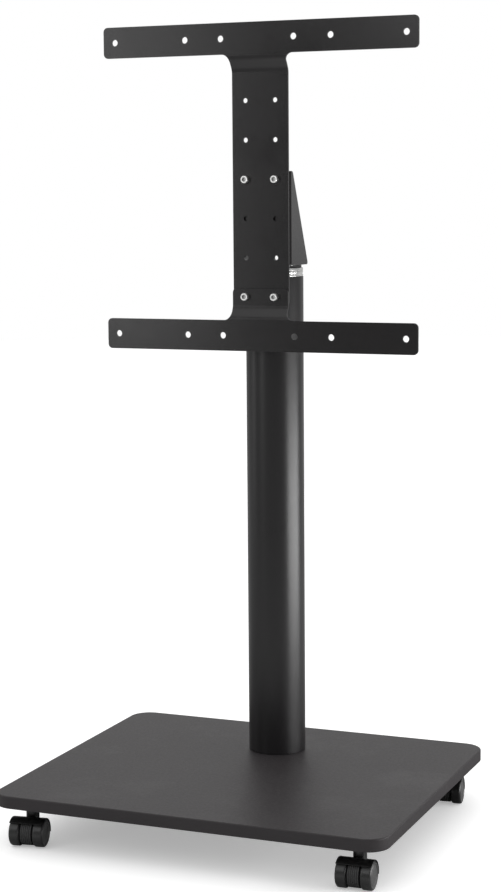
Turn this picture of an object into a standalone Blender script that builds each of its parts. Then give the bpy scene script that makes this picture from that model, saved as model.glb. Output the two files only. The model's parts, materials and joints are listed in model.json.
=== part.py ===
"""TV floor stand: a board on four twin wheel casters, a column and a swivelling head with two T plates.

Metres, Z up. The origin is on the floor under the middle of the board.
The T plates face the negative Y side.
"""

import math

import bmesh
import bpy
import numpy as np
from mathutils import Matrix, Vector

# Gap that a piece keeps to the one it sits on or in.
FIT = 0.0003

# Base board.
BOARD_WIDTH = 0.520
BOARD_DEPTH = 0.440
BOARD_THICKNESS = 0.016
BOARD_CORNER_RADIUS = 0.028
BOARD_TOP_ROUND = 0.002
BOARD_BOTTOM_CHAMFER = 0.001

# Column, its end plates and the screws that hold it on the board.
COLUMN_DIAMETER = 0.076
COLUMN_WALL = 0.002
COLUMN_LENGTH = 0.637
COLUMN_TO_BACK_EDGE = 0.112
END_PLATE_THICKNESS = 0.006
FOOT_SCREW_CIRCLE_DIAMETER = 0.046
FOOT_SCREW_COUNT = 4
FOOT_SCREW_DIAMETER = 0.008
FOOT_SCREW_HEAD_ACROSS_FLATS = 0.013
FOOT_SCREW_HEAD_HEIGHT = 0.0053
FOOT_SCREW_CLEARANCE = 0.0005
FOOT_WASHER_DIAMETER = 0.024
FOOT_WASHER_THICKNESS = 0.0018

# Swivel between the column and the wedge bracket.
# A collar and a ring are fixed on the column, and a slide washer lies under the bracket.
RING_SETBACK = 0.0005
RING_EDGE_CHAMFER = 0.0004
COLLAR_HEIGHT = 0.007
COLLAR_GROOVE_DEPTH = 0.0008
COLLAR_GROOVE_WIDTH = 0.0012
RING_HEIGHT = 0.0038
SLIDE_WASHER_SETBACK = 0.002
SLIDE_WASHER_THICKNESS = 0.0034
PIVOT_DIAMETER = 0.012
PIVOT_HEAD_DIAMETER = 0.022
PIVOT_HEAD_HEIGHT = 0.003
PIVOT_SOCKET_ACROSS_FLATS = 0.008
PIVOT_SOCKET_DEPTH = 0.0018
PIVOT_NUT_ACROSS_FLATS = 0.018
PIVOT_NUT_HEIGHT = 0.010
THREAD_PAST_NUT = 0.0012

# Wedge bracket, folded from sheet and open at the back and the top.
SHEET_THICKNESS = 0.003
BRACKET_WIDTH = 0.080
BRACKET_HEIGHT = 0.1211
BRACKET_TOP_DEPTH = 0.009
BRACKET_BEHIND_AXIS = 0.022
BRACKET_CORNER_RADIUS = 0.005
BRACKET_INNER_BEND_RADIUS = 0.001
BRACKET_TO_COLUMN_GAP = 0.006
BRACKET_TOP_MARGIN = 0.0103

# T plates. A row is a pair of holes across the strip, and row 1 is the highest. One more step of the row
# pitch under the last row leads to the lower bar's line.
PLATE_THICKNESS = 0.003
BAR_END_MARGIN = 0.016
BAR_HEIGHT = 0.040
BAR_CORNER_RADIUS = 0.006
INNER_FILLET_RADIUS = 0.010
STRIP_WIDTH = 0.077
STRIP_CORNER_RADIUS = 0.005
STRIP_END_MARGIN = 0.0105
BAR_HOLE_OFFSETS = (0.050, 0.100, 0.200)
BAR_HOLE_DIAMETER = 0.0085
STRIP_HOLE_SPACING = 0.041
STRIP_HOLE_DIAMETER = 0.0065
ROW_COUNT = 6
ROW_PITCH = 0.0503
UPPER_LINE_TO_FIRST_ROW = 0.0782
BRACKET_ROW = 3
BRACKET_SPARE_ROW = 5
UPPER_JOGGLE_DEPTH = 0.011
UPPER_JOGGLE_LENGTH = 0.024
LOWER_JOGGLE_LENGTH = 0.020
JOGGLE_STEPS = 6

# Socket screws and nuts of the T plates.
SCREW_DIAMETER = 0.006
SCREW_HEAD_DIAMETER = 0.010
SCREW_HEAD_HEIGHT = 0.006
SCREW_SOCKET_ACROSS_FLATS = 0.005
SCREW_SOCKET_DEPTH = 0.003
NUT_ACROSS_FLATS = 0.010
NUT_HEIGHT = 0.005

# Casters.
CASTER_INSET_X = 0.041
CASTER_INSET_Y = 0.039
CASTER_TRAIL = 0.015
NECK_HEIGHT = 0.0162
WHEEL_DIAMETER = 0.035
WHEEL_WIDTH = 0.0137
WHEEL_EDGE_ROUND = 0.002
WHEEL_RIM_WIDTH = 0.0045
WHEEL_HUB_DIAMETER = 0.012
WHEEL_DISH_DEPTH = 0.0012
WHEEL_SIDE_GAP = 0.0012
CENTRE_BODY_WIDTH = 0.015
CENTRE_BODY_SETBACK = 0.0015
HOOD_THICKNESS = 0.001
HOOD_GAP = 0.0005
HOOD_FRONT_ANGLE = 50.0
HOOD_BACK_ANGLE = 190.0
HOOD_LIP_ANGLE = 4.0
BOSS_TO_WHEEL_GAP = 0.0004
BOSS_FOOT_ABOVE_AXLE = 0.003
AXLE_DIAMETER = 0.006
AXLE_SEAT_DEPTH = 0.0105
STEM_FLANGE_THICKNESS = 0.0025
STEM_PIN_DIAMETER = 0.007
STEM_PIN_LENGTH = 0.020
STEM_THREAD_DIAMETER = 0.008
INSERT_WALL = 0.0017
INSERT_LENGTH = 0.012

# Turn of each caster about its neck, in degrees, as the stand was photographed.
CASTER_TURN = {"front_left": 9.0, "front_right": 2.0, "back_left": 4.0, "back_right": 6.0}

# Facets round each kind of round piece, a multiple of six for the hexagons.
COLUMN_SEGMENTS = 48
WHEEL_SEGMENTS = 30
SMALL_SEGMENTS = 18
SCREW_SEGMENTS = 12
BAR_HOLE_SEGMENTS = 16
STRIP_HOLE_SEGMENTS = 12
CORNER_SEGMENTS = 5
BEND_SEGMENTS = 4
HOOD_ARC_STEP = 12.0

# Edges that turn by more than this many degrees stay sharp.
SHARP_ANGLE = 35.0

# Heights, from the floor up.
WHEEL_RADIUS = WHEEL_DIAMETER / 2
HOOD_RADIUS = WHEEL_RADIUS + HOOD_GAP + HOOD_THICKNESS
BOARD_BOTTOM = WHEEL_RADIUS + HOOD_RADIUS + NECK_HEIGHT
BOARD_TOP = BOARD_BOTTOM + BOARD_THICKNESS
COLUMN_BOTTOM = BOARD_TOP + FIT
COLUMN_TOP = COLUMN_BOTTOM + COLUMN_LENGTH
COLLAR_BOTTOM = COLUMN_TOP + FIT
RING_BOTTOM = COLLAR_BOTTOM + COLLAR_HEIGHT + FIT
SLIDE_WASHER_BOTTOM = RING_BOTTOM + RING_HEIGHT + FIT
BRACKET_BOTTOM = SLIDE_WASHER_BOTTOM + SLIDE_WASHER_THICKNESS + FIT

# The head is placed from the column's axis and from the bracket's underside.
COLUMN_Y = BOARD_DEPTH / 2 - COLUMN_TO_BACK_EDGE
BRACKET_FRONT = -(COLUMN_DIAMETER / 2 + BRACKET_TO_COLUMN_GAP)
STRIP_BACK = BRACKET_FRONT - FIT
STRIP_FRONT = STRIP_BACK - PLATE_THICKNESS
BAR_FRONT = STRIP_FRONT - UPPER_JOGGLE_DEPTH
TAB_FRONT = STRIP_FRONT - FIT - PLATE_THICKNESS
UPPER_LINE = BRACKET_HEIGHT - BRACKET_TOP_MARGIN + (BRACKET_ROW - 1) * ROW_PITCH + UPPER_LINE_TO_FIRST_ROW


def row_height(row):
    """Height of a row of strip holes above the bracket's underside."""
    return UPPER_LINE - UPPER_LINE_TO_FIRST_ROW - (row - 1) * ROW_PITCH


LOWER_LINE = row_height(ROW_COUNT + 1)
BAR_LENGTH = 2 * (BAR_HOLE_OFFSETS[-1] + BAR_END_MARGIN)


def make_material(name, colour, roughness, metallic=0.0):
    """A plain Principled material."""
    material = bpy.data.materials.new(name)
    material.use_nodes = True
    shader = material.node_tree.nodes["Principled BSDF"]
    shader.inputs["Base Color"].default_value = (*colour, 1.0)
    shader.inputs["Roughness"].default_value = roughness
    shader.inputs["Metallic"].default_value = metallic
    material.diffuse_color = (*colour, 1.0)
    return material


def circle(radius, z, segments, centre=(0.0, 0.0)):
    """A level circle of points."""
    points = []
    for k in range(segments):
        angle = 2 * math.pi * k / segments
        points.append((centre[0] + radius * math.cos(angle), centre[1] + radius * math.sin(angle), z))
    return points


def hexagon(across_flats, z, segments):
    """A level hexagon with as many points as a circle, so that the two can be skinned together."""
    points = []
    for k in range(segments):
        angle = 2 * math.pi * k / segments
        off_flat = math.remainder(angle - math.pi / 6, math.pi / 3)
        radius = across_flats / 2 / math.cos(off_flat)
        points.append((radius * math.cos(angle), radius * math.sin(angle), z))
    return points


def rounded_outline(corners):
    """Points of a polygon whose corners (x, y, radius) are rounded by tangent arcs."""
    points = []
    count = len(corners)
    for k, (x, y, radius) in enumerate(corners):
        here = Vector((x, y))
        if radius <= 0:
            points.append((here.x, here.y))
            continue
        before = (Vector(corners[k - 1][:2]) - here).normalized()
        after = (Vector(corners[(k + 1) % count][:2]) - here).normalized()
        half = before.angle(after) / 2
        centre = here + (before + after).normalized() * (radius / math.sin(half))
        start = here + before * (radius / math.tan(half)) - centre
        end = here + after * (radius / math.tan(half)) - centre
        first = math.atan2(start.y, start.x)
        sweep = math.remainder(math.atan2(end.y, end.x) - first, 2 * math.pi)
        for step in range(CORNER_SEGMENTS + 1):
            angle = first + sweep * step / CORNER_SEGMENTS
            points.append((centre.x + radius * math.cos(angle), centre.y + radius * math.sin(angle)))
    return points


def skin(bm, loops, closed=False, fan=True):
    """Joins loops of equal length into a closed body, capped at its ends or closed on itself."""
    rows = [[bm.verts.new(point) for point in loop] for loop in loops]
    pairs = list(zip(rows, rows[1:]))
    if closed:
        pairs.append((rows[-1], rows[0]))
    for low, high in pairs:
        for k in range(len(low)):
            after = (k + 1) % len(low)
            bm.faces.new((low[k], low[after], high[after], high[k]))
    if closed:
        return
    for row in (rows[0], rows[-1]):
        if not fan:
            bm.faces.new(row)
            continue
        middle = bm.verts.new(sum((vert.co for vert in row), Vector()) / len(row))
        for k in range(len(row)):
            bm.faces.new((row[k], row[(k + 1) % len(row)], middle))


def turned(profile, segments, closed=False):
    """A body turned about Z from (radius, z) points. A closed profile makes a ring with a bore."""
    bm = bmesh.new()
    skin(bm, [circle(radius, z, segments) for radius, z in profile], closed=closed)
    return bm


def ring_body(outer, bore, low, high, segments):
    """A plain washer or tube."""
    return turned([(bore, low), (outer, low), (outer, high), (bore, high)], segments, closed=True)


def prism(outline, axis, low, high):
    """An outline drawn out along one axis. Along X its points are (y, z), and along Y they are (x, z)."""
    loops = []
    for level in (low, high):
        if axis == "X":
            loops.append([(level, a, b) for a, b in outline])
        else:
            loops.append([(a, level, b) for a, b in outline])
    bm = bmesh.new()
    skin(bm, loops, fan=False)
    return bm


def make_object(name, bm, material=None, parent=None, location=(0, 0, 0), rotation=(0, 0, 0)):
    """Turns a body into a named object, smooth on its round faces and sharp at its edges."""
    bmesh.ops.recalc_face_normals(bm, faces=bm.faces)
    mesh = bpy.data.meshes.new(name)
    bm.to_mesh(mesh)
    bm.free()
    mesh.shade_smooth()
    mesh.set_sharp_from_angle(angle=math.radians(SHARP_ANGLE))
    if material:
        mesh.materials.append(material)
    thing = bpy.data.objects.new(name, mesh)
    bpy.context.scene.collection.objects.link(thing)
    thing.parent = parent
    thing.location = location
    thing.rotation_euler = rotation
    return thing


def copy_object(source, name, location):
    """Another piece of the same mesh, in another place."""
    thing = bpy.data.objects.new(name, source.data)
    bpy.context.scene.collection.objects.link(thing)
    thing.parent = source.parent
    thing.location = location
    thing.rotation_euler = source.rotation_euler
    return thing


def combine(thing, bm, operation):
    """Cuts a body out of an object, or joins it on, through a hidden helper in the same place."""
    name = f"{thing.name}_{operation.lower()}_{len(thing.modifiers) + 1}"
    helper = make_object(name, bm, None, thing.parent, thing.location, thing.rotation_euler)
    helper.hide_render = True
    helper.display_type = "WIRE"
    modifier = thing.modifiers.new(operation.title(), "BOOLEAN")
    modifier.operation = operation
    modifier.solver = "EXACT"
    modifier.object = helper


def make_pivot(name, location, turn=0.0, parent=None):
    """An empty on the axis of a moving group."""
    pivot = bpy.data.objects.new(name, None)
    bpy.context.scene.collection.objects.link(pivot)
    pivot.location = location
    pivot.rotation_euler = (0.0, 0.0, math.radians(turn))
    pivot.parent = parent
    return pivot


def socket_screw(length, diameter, head_diameter, head_height, across_flats, depth, segments):
    """A socket head screw along Z. Its head stands on Z 0 and its shank hangs below."""
    tip = diameter / 12
    bm = bmesh.new()
    skin(bm, [
        circle(diameter / 2 - tip, -length, segments),
        circle(diameter / 2, tip - length, segments),
        circle(diameter / 2, 0.0, segments),
        circle(head_diameter / 2, 0.0, segments),
        circle(head_diameter / 2, head_height - tip, segments),
        circle(head_diameter / 2 - tip, head_height, segments),
        hexagon(across_flats, head_height, segments),
        hexagon(across_flats, head_height - depth, segments),
    ])
    return bm


def hexagon_nut(across_flats, height, bore, segments):
    """A nut standing on Z 0."""
    bm = bmesh.new()
    skin(bm, [
        circle(bore, 0.0, segments),
        hexagon(across_flats, 0.0, segments),
        hexagon(across_flats, height, segments),
        circle(bore, height, segments),
    ], closed=True)
    return bm


def rounded_rectangle(inset, z):
    """The board's outline, drawn in by an inset."""
    half_x = BOARD_WIDTH / 2 - inset
    half_y = BOARD_DEPTH / 2 - inset
    radius = BOARD_CORNER_RADIUS - inset
    quarters = ((1, 1), (-1, 1), (-1, -1), (1, -1))
    corners = [(sign_x * half_x, sign_y * half_y, radius) for sign_x, sign_y in quarters]
    return [(x, y, z) for x, y in rounded_outline(corners)]


def caster_places():
    """Neck position of each caster under the board."""
    x = BOARD_WIDTH / 2 - CASTER_INSET_X
    y = BOARD_DEPTH / 2 - CASTER_INSET_Y
    return {
        "front_left": (-x, -y),
        "front_right": (x, -y),
        "back_left": (-x, y),
        "back_right": (x, y),
    }


def foot_screw_places():
    """Position of each screw through the board into the column's foot."""
    places = []
    for k in range(FOOT_SCREW_COUNT):
        angle = 2 * math.pi * (k + 0.5) / FOOT_SCREW_COUNT
        radius = FOOT_SCREW_CIRCLE_DIAMETER / 2
        places.append((radius * math.cos(angle), COLUMN_Y + radius * math.sin(angle)))
    return places


def make_board(material):
    """The board, with blind holes for the caster inserts and clear holes for the foot screws."""
    bm = bmesh.new()
    round_step = BOARD_TOP_ROUND * (1 - math.sqrt(0.5))
    skin(bm, [
        rounded_rectangle(BOARD_BOTTOM_CHAMFER, BOARD_BOTTOM),
        rounded_rectangle(0.0, BOARD_BOTTOM + BOARD_BOTTOM_CHAMFER),
        rounded_rectangle(0.0, BOARD_TOP - BOARD_TOP_ROUND),
        rounded_rectangle(round_step, BOARD_TOP - round_step),
        rounded_rectangle(BOARD_TOP_ROUND, BOARD_TOP),
    ], fan=False)
    board = make_object("base_board", bm, material)
    holes = bmesh.new()
    insert_radius = STEM_THREAD_DIAMETER / 2 + FIT + INSERT_WALL + FIT
    for x, y in caster_places().values():
        low, high = BOARD_BOTTOM - BOARD_THICKNESS, BOARD_BOTTOM + INSERT_LENGTH + FIT
        skin(holes, [circle(insert_radius, z, SMALL_SEGMENTS, (x, y)) for z in (low, high)])
    screw_radius = FOOT_SCREW_DIAMETER / 2 + FOOT_SCREW_CLEARANCE
    for x, y in foot_screw_places():
        low, high = BOARD_BOTTOM - BOARD_THICKNESS, BOARD_TOP + BOARD_THICKNESS
        skin(holes, [circle(screw_radius, z, SMALL_SEGMENTS, (x, y)) for z in (low, high)])
    combine(board, holes, "DIFFERENCE")


def make_column(paint, steel):
    """The tube, the plates welded in its two ends, and the screws and washers under its foot."""
    axis = (0.0, COLUMN_Y, 0.0)
    inner = COLUMN_DIAMETER / 2 - COLUMN_WALL
    tube = ring_body(COLUMN_DIAMETER / 2, inner, COLUMN_BOTTOM, COLUMN_TOP, COLUMN_SEGMENTS)
    make_object("column_tube", tube, paint, location=axis)

    plate_radius = inner - FIT
    foot_top = COLUMN_BOTTOM + END_PLATE_THICKNESS
    foot = turned([(plate_radius, COLUMN_BOTTOM), (plate_radius, foot_top)], COLUMN_SEGMENTS)
    foot_plate = make_object("column_foot_plate", foot, steel, location=axis)
    holes = bmesh.new()
    for x, y in foot_screw_places():
        low, high = COLUMN_BOTTOM - END_PLATE_THICKNESS, foot_top + END_PLATE_THICKNESS
        bore = FOOT_SCREW_DIAMETER / 2 + FIT
        skin(holes, [circle(bore, z, SMALL_SEGMENTS, (x, y - COLUMN_Y)) for z in (low, high)])
    combine(foot_plate, holes, "DIFFERENCE")

    bore = PIVOT_DIAMETER / 2 + FIT
    top = ring_body(plate_radius, bore, COLUMN_TOP - END_PLATE_THICKNESS, COLUMN_TOP, COLUMN_SEGMENTS)
    make_object("column_top_plate", top, steel, location=axis)

    washer_top = BOARD_BOTTOM - FIT
    washer_low = washer_top - FOOT_WASHER_THICKNESS
    screw_radius = FOOT_SCREW_DIAMETER / 2
    washer = ring_body(FOOT_WASHER_DIAMETER / 2, screw_radius + FIT, washer_low, washer_top, SMALL_SEGMENTS)
    head_top = washer_low - FIT
    head_low = head_top - FOOT_SCREW_HEAD_HEIGHT
    screw = bmesh.new()
    skin(screw, [
        hexagon(FOOT_SCREW_HEAD_ACROSS_FLATS, head_low, SMALL_SEGMENTS),
        hexagon(FOOT_SCREW_HEAD_ACROSS_FLATS, head_top, SMALL_SEGMENTS),
        circle(screw_radius, head_top, SMALL_SEGMENTS),
        circle(screw_radius, foot_top, SMALL_SEGMENTS),
    ])
    places = [(x, y, 0.0) for x, y in foot_screw_places()]
    first_washer = make_object("foot_washer_1", washer, steel, location=places[0])
    first_screw = make_object("foot_screw_1", screw, steel, location=places[0])
    for number, place in enumerate(places[1:], start=2):
        copy_object(first_washer, f"foot_washer_{number}", place)
        copy_object(first_screw, f"foot_screw_{number}", place)


def make_swivel(silver, plastic, steel):
    """The collar, the ring, the slide washer that the bracket turns on, and the pivot bolt with its nut."""
    bore = PIVOT_DIAMETER / 2 + FIT
    radius = COLUMN_DIAMETER / 2 - RING_SETBACK
    edge = RING_EDGE_CHAMFER
    groove_low = (COLLAR_HEIGHT - COLLAR_GROOVE_WIDTH) / 2
    groove_high = groove_low + COLLAR_GROOVE_WIDTH
    collar = turned([
        (bore, 0.0),
        (radius - edge, 0.0),
        (radius, edge),
        (radius, groove_low - COLLAR_GROOVE_DEPTH / 2),
        (radius - COLLAR_GROOVE_DEPTH, groove_low),
        (radius - COLLAR_GROOVE_DEPTH, groove_high),
        (radius, groove_high + COLLAR_GROOVE_DEPTH / 2),
        (radius, COLLAR_HEIGHT - edge),
        (radius - edge, COLLAR_HEIGHT),
        (bore, COLLAR_HEIGHT),
    ], COLUMN_SEGMENTS, closed=True)
    make_object("swivel_collar", collar, silver, location=(0.0, COLUMN_Y, COLLAR_BOTTOM))

    ring = turned([
        (bore, 0.0),
        (radius - edge, 0.0),
        (radius, edge),
        (radius, RING_HEIGHT - edge),
        (radius - edge, RING_HEIGHT),
        (bore, RING_HEIGHT),
    ], COLUMN_SEGMENTS, closed=True)
    make_object("swivel_ring", ring, silver, location=(0.0, COLUMN_Y, RING_BOTTOM))

    slide = ring_body(radius - SLIDE_WASHER_SETBACK, bore, 0.0, SLIDE_WASHER_THICKNESS, COLUMN_SEGMENTS)
    make_object("swivel_washer", slide, plastic, location=(0.0, COLUMN_Y, SLIDE_WASHER_BOTTOM))

    head_seat = BRACKET_BOTTOM + SHEET_THICKNESS + FIT
    nut_top = COLUMN_TOP - END_PLATE_THICKNESS - FIT
    length = head_seat - nut_top + PIVOT_NUT_HEIGHT + THREAD_PAST_NUT
    bolt = socket_screw(
        length, PIVOT_DIAMETER, PIVOT_HEAD_DIAMETER, PIVOT_HEAD_HEIGHT,
        PIVOT_SOCKET_ACROSS_FLATS, PIVOT_SOCKET_DEPTH, SMALL_SEGMENTS,
    )
    make_object("pivot_bolt", bolt, steel, location=(0.0, COLUMN_Y, head_seat))
    nut = hexagon_nut(PIVOT_NUT_ACROSS_FLATS, PIVOT_NUT_HEIGHT, bore, SMALL_SEGMENTS)
    make_object("pivot_nut", nut, steel, location=(0.0, COLUMN_Y, nut_top - PIVOT_NUT_HEIGHT))


def folded_block(outline, half_width, bend):
    """A side outline drawn out across X, with its two front vertical edges rounded."""
    bm = prism(outline, "X", -half_width, half_width)
    front = min(vert.co.y for vert in bm.verts)
    edges = []
    for edge in bm.edges:
        a, b = (vert.co for vert in edge.verts)
        if max(a.y, b.y) < front + 1e-6 and abs(a.x - b.x) < 1e-6:
            edges.append(edge)
    bmesh.ops.bevel(
        bm, geom=edges, offset=bend, offset_type="OFFSET",
        segments=BEND_SEGMENTS, profile=0.5, affect="EDGES",
    )
    return bm


def add_holes(bm, places, diameter, low, high, segments):
    """Adds a cylinder along Y at each (x, z) place."""
    for x, z in places:
        loops = []
        for level in (low, high):
            loops.append([(px, level, pz) for px, pz, _ in circle(diameter / 2, 0.0, segments, (x, z))])
        skin(bm, loops)


def make_bracket(material, head):
    """The wedge bracket: a folded front plate, two tapering cheeks and a bottom plate."""
    back = BRACKET_BEHIND_AXIS
    side = rounded_outline([
        (BRACKET_FRONT, 0.0, 0.0),
        (back, 0.0, BRACKET_CORNER_RADIUS),
        (BRACKET_FRONT + BRACKET_TOP_DEPTH, BRACKET_HEIGHT, 0.0),
        (BRACKET_FRONT, BRACKET_HEIGHT, 0.0),
    ])
    outer_bend = BRACKET_INNER_BEND_RADIUS + SHEET_THICKNESS
    block = folded_block(side, BRACKET_WIDTH / 2, outer_bend)
    bracket = make_object("wedge_bracket", block, material, head)

    past = BRACKET_WIDTH
    inside = [
        (BRACKET_FRONT + SHEET_THICKNESS, SHEET_THICKNESS),
        (back + past, SHEET_THICKNESS),
        (back + past, BRACKET_HEIGHT + past),
        (BRACKET_FRONT + SHEET_THICKNESS, BRACKET_HEIGHT + past),
    ]
    hollow = folded_block(inside, BRACKET_WIDTH / 2 - SHEET_THICKNESS, BRACKET_INNER_BEND_RADIUS)
    combine(bracket, hollow, "DIFFERENCE")

    places = []
    for row in (BRACKET_ROW, BRACKET_SPARE_ROW):
        for side_sign in (-1, 1):
            places.append((side_sign * STRIP_HOLE_SPACING / 2, row_height(row)))
    low, high = BRACKET_FRONT - SHEET_THICKNESS, BRACKET_FRONT + 2 * SHEET_THICKNESS
    holes = bmesh.new()
    add_holes(holes, places, STRIP_HOLE_DIAMETER, low, high, STRIP_HOLE_SEGMENTS)
    bore = PIVOT_DIAMETER / 2 + FIT
    skin(holes, [circle(bore, z, SMALL_SEGMENTS) for z in (-SHEET_THICKNESS, 2 * SHEET_THICKNESS)])
    combine(bracket, holes, "DIFFERENCE")


def joggled_plate(outline, front, bend_start, bend_end, depth):
    """A flat outline of sheet, pushed back by a soft S bend between two heights."""
    bm = prism(outline, "Y", front, front + PLATE_THICKNESS)
    fractions = np.linspace(0.0, 1.0, JOGGLE_STEPS + 1)
    heights = bend_start + (bend_end - bend_start) * fractions
    pushes = depth * (1 - np.cos(math.pi * fractions)) / 2
    for height in heights:
        everything = [*bm.verts, *bm.edges, *bm.faces]
        point = (0.0, 0.0, float(height))
        bmesh.ops.bisect_plane(bm, geom=everything, dist=1e-7, plane_co=point, plane_no=(0.0, 0.0, 1.0))
    order = np.argsort(heights)
    for vert in bm.verts:
        vert.co.y += float(np.interp(vert.co.z, heights[order], pushes[order]))
    return bm


def t_outline(bar_line, strip_end):
    """The outline of a T plate: a bar about its hole line, and a strip to the given height."""
    toward = 1 if strip_end > bar_line else -1
    half_bar = BAR_LENGTH / 2
    half_strip = STRIP_WIDTH / 2
    far = bar_line - toward * BAR_HEIGHT / 2
    near = bar_line + toward * BAR_HEIGHT / 2
    return rounded_outline([
        (-half_bar, far, BAR_CORNER_RADIUS),
        (half_bar, far, BAR_CORNER_RADIUS),
        (half_bar, near, BAR_CORNER_RADIUS),
        (half_strip, near, INNER_FILLET_RADIUS),
        (half_strip, strip_end, STRIP_CORNER_RADIUS),
        (-half_strip, strip_end, STRIP_CORNER_RADIUS),
        (-half_strip, near, INNER_FILLET_RADIUS),
        (-half_bar, near, BAR_CORNER_RADIUS),
    ])


def make_t_plate(name, material, head, bar_line, strip_end, joggle_length, depth, rows):
    """A T plate with its bar holes and the strip holes of the given rows."""
    toward = 1 if strip_end > bar_line else -1
    bend_start = bar_line + toward * BAR_HEIGHT / 2
    bend_end = bend_start + toward * joggle_length
    body = joggled_plate(t_outline(bar_line, strip_end), BAR_FRONT, bend_start, bend_end, depth)
    plate = make_object(name, body, material, head)

    bar_places = [(sign * offset, bar_line) for offset in BAR_HOLE_OFFSETS for sign in (-1, 1)]
    strip_places = [(sign * STRIP_HOLE_SPACING / 2, row_height(row)) for row in rows for sign in (-1, 1)]
    low = BAR_FRONT - PLATE_THICKNESS
    high = STRIP_BACK + PLATE_THICKNESS
    holes = bmesh.new()
    add_holes(holes, bar_places, BAR_HOLE_DIAMETER, low, high, BAR_HOLE_SEGMENTS)
    add_holes(holes, strip_places, STRIP_HOLE_DIAMETER, low, high, STRIP_HOLE_SEGMENTS)
    combine(plate, holes, "DIFFERENCE")


def make_screw_pair(prefix, material, head, row, face, nut_seat):
    """Two socket screws and their nuts at one row, from the face that the heads sit on to the nuts' seat."""
    seat = face - FIT
    nut_start = nut_seat + FIT
    length = nut_start + NUT_HEIGHT + THREAD_PAST_NUT - seat
    screw = socket_screw(
        length, SCREW_DIAMETER, SCREW_HEAD_DIAMETER, SCREW_HEAD_HEIGHT,
        SCREW_SOCKET_ACROSS_FLATS, SCREW_SOCKET_DEPTH, SCREW_SEGMENTS,
    )
    nut = hexagon_nut(NUT_ACROSS_FLATS, NUT_HEIGHT, SCREW_DIAMETER / 2 + FIT, SCREW_SEGMENTS)
    # A quarter turn about X points the head at the negative Y side.
    facing = (math.pi / 2, 0.0, 0.0)
    x, z = STRIP_HOLE_SPACING / 2, row_height(row)
    nut_end = nut_start + NUT_HEIGHT
    left_screw = make_object(prefix + "_screw_left", screw, material, head, (-x, seat, z), facing)
    copy_object(left_screw, prefix + "_screw_right", (x, seat, z))
    left_nut = make_object(prefix + "_nut_left", nut, material, head, (-x, nut_end, z), facing)
    copy_object(left_nut, prefix + "_nut_right", (x, nut_end, z))


def make_head(paint, steel, head):
    """The bracket, the two T plates and their screws, all on the swivel."""
    make_bracket(paint, head)
    rows = range(1, ROW_COUNT + 1)
    strip_end = row_height(ROW_COUNT) - STRIP_END_MARGIN
    upper_bend = (UPPER_JOGGLE_LENGTH, UPPER_JOGGLE_DEPTH)
    make_t_plate("upper_t_plate", paint, head, UPPER_LINE, strip_end, *upper_bend, rows)
    tab_end = row_height(ROW_COUNT) + STRIP_END_MARGIN
    lower_bend = (LOWER_JOGGLE_LENGTH, TAB_FRONT - BAR_FRONT)
    make_t_plate("lower_t_plate", paint, head, LOWER_LINE, tab_end, *lower_bend, [ROW_COUNT])
    make_screw_pair("upper", steel, head, BRACKET_ROW, STRIP_FRONT, BRACKET_FRONT + SHEET_THICKNESS)
    make_screw_pair("lower", steel, head, ROW_COUNT, TAB_FRONT, STRIP_BACK)


def hood_point(angle, radius):
    """A point (y, z) at an angle that starts at the front and goes up over the wheels."""
    turn = math.radians(angle)
    return (-CASTER_TRAIL - radius * math.cos(turn), WHEEL_RADIUS + radius * math.sin(turn))


def hood_arc(start, end, radius):
    """Points (y, z) along an arc about the axle, between two angles."""
    steps = max(2, round(abs(end - start) / HOOD_ARC_STEP))
    return [hood_point(start + (end - start) * k / steps, radius) for k in range(steps + 1)]


def wheel_start():
    """Distance from the caster's middle to the inner side of each wheel."""
    return CENTRE_BODY_WIDTH / 2 + WHEEL_SIDE_GAP


def make_hood(name, material, pivot):
    """The caster's centre body, the hood over both wheels, and the boss round the stem's pin."""
    middle_radius = HOOD_RADIUS - HOOD_THICKNESS / 2
    centre_radius = WHEEL_RADIUS - CENTRE_BODY_SETBACK
    first, last = HOOD_FRONT_ANGLE + HOOD_LIP_ANGLE, HOOD_BACK_ANGLE - HOOD_LIP_ANGLE
    outline = hood_arc(first, last, middle_radius)
    outline += hood_arc(last, first + 360.0, centre_radius)
    centre_body = prism(outline, "X", -CENTRE_BODY_WIDTH / 2, CENTRE_BODY_WIDTH / 2)
    hood = make_object(name, centre_body, material, pivot)

    inner_radius = HOOD_RADIUS - HOOD_THICKNESS
    cover = hood_arc(HOOD_FRONT_ANGLE, HOOD_BACK_ANGLE, HOOD_RADIUS)
    cover += hood_arc(HOOD_BACK_ANGLE, HOOD_FRONT_ANGLE, inner_radius)
    half_width = wheel_start() + WHEEL_WIDTH
    combine(hood, prism(cover, "X", -half_width, half_width), "UNION")

    flange_bottom = BOARD_BOTTOM - FIT - STEM_FLANGE_THICKNESS
    boss_top = flange_bottom - FIT
    boss_radius = wheel_start() - BOSS_TO_WHEEL_GAP
    boss_foot = WHEEL_RADIUS + BOSS_FOOT_ABOVE_AXLE
    boss = turned([(boss_radius, boss_foot), (boss_radius, boss_top)], SMALL_SEGMENTS)
    combine(hood, boss, "UNION")

    bores = turned([
        (STEM_PIN_DIAMETER / 2 + FIT, flange_bottom - STEM_PIN_LENGTH - FIT),
        (STEM_PIN_DIAMETER / 2 + FIT, BOARD_BOTTOM),
    ], SMALL_SEGMENTS)
    axle_loops = []
    for level in (-CENTRE_BODY_WIDTH, CENTRE_BODY_WIDTH):
        centre = (-CASTER_TRAIL, WHEEL_RADIUS)
        flat = circle(AXLE_DIAMETER / 2 + FIT, 0.0, SMALL_SEGMENTS, centre)
        axle_loops.append([(level, y, z) for y, z, _ in flat])
    skin(bores, axle_loops)
    combine(hood, bores, "DIFFERENCE")


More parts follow.
